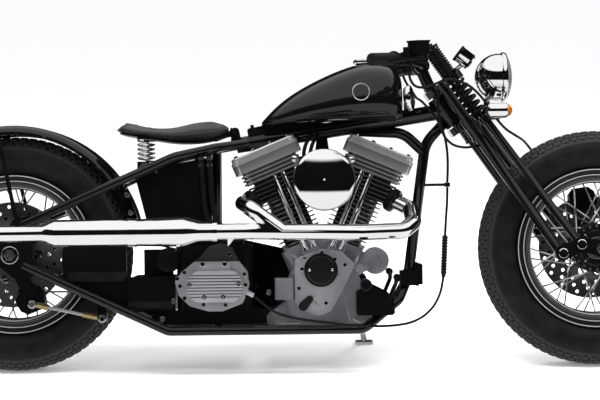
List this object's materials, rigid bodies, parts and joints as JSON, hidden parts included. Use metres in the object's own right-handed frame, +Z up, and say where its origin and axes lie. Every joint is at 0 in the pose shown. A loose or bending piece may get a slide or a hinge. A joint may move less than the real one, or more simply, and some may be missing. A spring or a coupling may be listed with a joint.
{
  "type": "motorcycle",
  "caption": "rigid-frame bobber chopper motorcycle with a springer fork, an air-cooled V-twin, a peanut tank and a sprung solo saddle, leaning on its side stand",
  "frame": {"origin": "on the ground, under the middle of the bounding box of the leaning bike", "axes": "+X points ahead along the bike, +Y to the rider's left, the side of the stand, +Z up"},
  "size_m": [2.2883, 0.7842, 0.9169],
  "materials": {
    "amber_lens": "moulded",
    "black_iron": "painted black",
    "black_paint": "gloss",
    "cast_alloy": "bead blasted",
    "chrome": "polished",
    "clear_glass": "clear",
    "leather": "smooth",
    "plastic": "matt",
    "red_lens": "moulded",
    "rubber": "matt",
    "satin_black": "satin",
    "steel": "satin",
    "tyre": "matt"
  },
  "bodies": {
    "chassis": {"frame_backbone": "black_paint", "frame_downtube": "black_paint", "frame_rails": "black_paint", "frame_stays": "black_paint", "frame_crossbars": "black_paint", "axle_plates": "black_paint", "rear_axle": "steel", "clutch_cable_upper": "plastic", "clutch_cable_lower": "plastic", "fuel_tank": "black_paint", "seat": "leather", "seat_base": "black_paint", "seat_springs": "chrome", "rear_fender": "black_paint", "tail_lamp": "red_lens", "crankcase": "cast_alloy", "cam_cover": "cast_alloy", "cylinders": "black_iron", "cylinder_heads": "cast_alloy", "rocker_boxes": "cast_alloy", "pushrod_tubes": "chrome", "carburettor": "cast_alloy", "air_cleaner": "chrome", "top_mounts": "satin_black", "oil_filter": "chrome", "exhaust_headers": "chrome", "muffler": "chrome", "transmission": "cast_alloy", "transmission_cover": "cast_alloy", "primary_cover": "satin_black", "drive_belt": "rubber", "oil_tank": "black_paint", "battery_box": "black_paint", "regulator": "satin_black", "forward_controls": "satin_black", "rear_caliper": "satin_black"},
    "front_wheel": {"front_wheel": "chrome", "front_tyre": "tyre", "front_disc": "steel"},
    "rear_wheel": {"rear_wheel": "chrome", "rear_tyre": "tyre", "rear_disc": "steel", "rear_pulley": "satin_black"},
    "steering": {"rigid_fork": "black_paint", "spring_fork": "black_paint", "fork_rockers": "black_paint", "front_axle": "steel", "fork_springs": "satin_black", "handlebar": "satin_black", "grips": "rubber", "brake_control": "satin_black", "clutch_control": "satin_black", "speedometer": "chrome", "headlamp": "chrome", "headlamp_lens": "clear_glass", "turn_signals": "chrome", "turn_signal_lenses": "amber_lens", "front_caliper": "satin_black", "fork_lines": "plastic"},
    "side_stand": {"side_stand": "black_paint"}
  },
  "joints": [
    {"name": "steering_head", "type": "hinge", "parent": "chassis", "child": "steering", "pos_m": [0.41003, -0.01565, 0.70692], "axis": [-0.5736, 0.114, 0.8112], "range_deg": [-30, 30], "deforming": ["clutch_cable_upper"]},
    {"name": "front_wheel_spin", "type": "hinge", "parent": "steering", "child": "front_wheel", "pos_m": [0.8182, -0.06953, 0.32359], "axis": [0, 0.9903, -0.1392], "continuous": true},
    {"name": "rear_wheel_spin", "type": "hinge", "parent": "chassis", "child": "rear_wheel", "pos_m": [-0.7978, -0.06953, 0.32359], "axis": [0, 0.9903, -0.1392], "continuous": true},
    {"name": "side_stand_fold", "type": "hinge", "parent": "chassis", "child": "side_stand", "pos_m": [0.1682, 0.04725, 0.09107], "axis": [0, 0.5611, 0.8278], "range_deg": [0, 76]}
  ]
}
